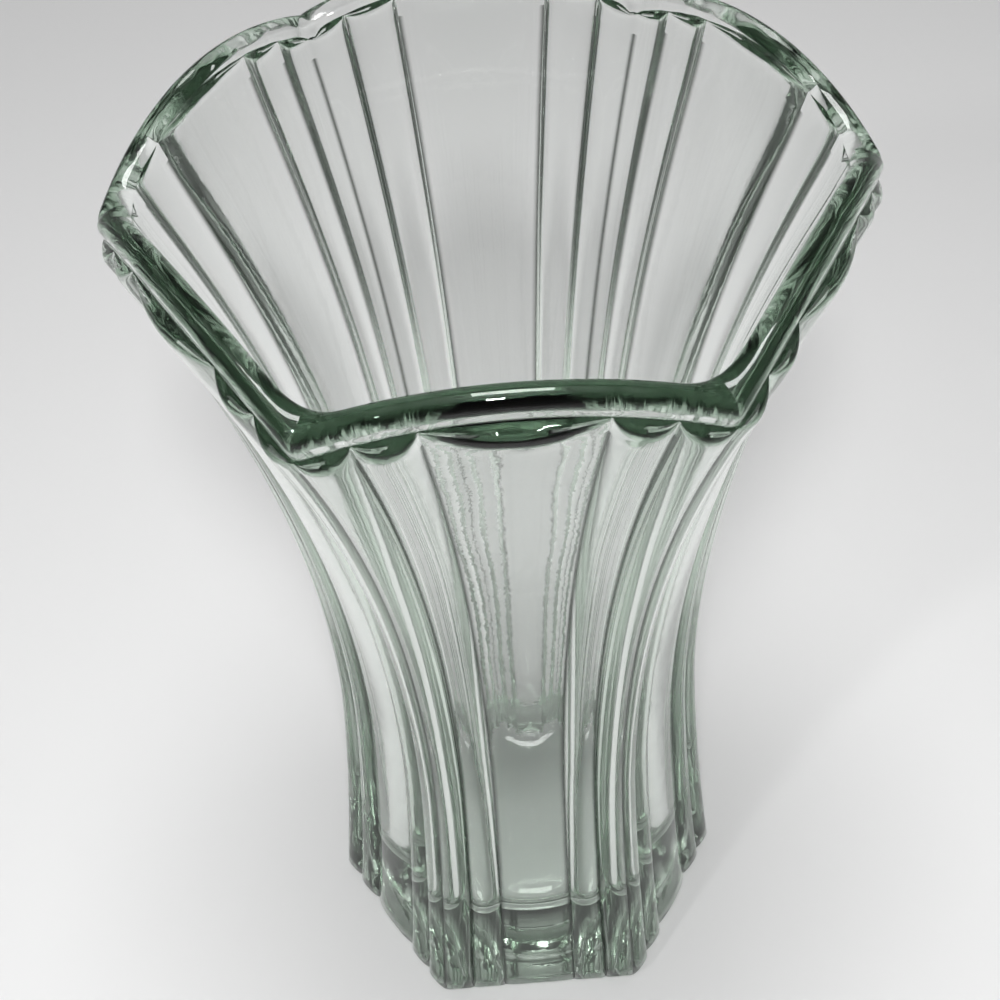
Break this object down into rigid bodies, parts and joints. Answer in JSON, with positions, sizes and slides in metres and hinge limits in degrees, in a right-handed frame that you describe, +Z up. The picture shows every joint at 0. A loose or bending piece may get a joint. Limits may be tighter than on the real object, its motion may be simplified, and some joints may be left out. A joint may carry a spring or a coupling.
{
  "type": "pressed-glass fan vase",
  "caption": "Fan-shaped vase of clear pressed glass with a hexagonal heavy foot, fluted sides that flare upwards and a rim of low arches with a rounded lip.",
  "frame": {"origin": "centre of the resting face under the foot", "axes": "+Z up along the vase's axis, -Y towards the middle of one side, +X towards a corner"},
  "size_m": [0.1306, 0.122, 0.2068],
  "materials": {
    "glass": "polished"
  },
  "bodies": {
    "root": {"vase_body": "glass"}
  },
  "joints": []
}
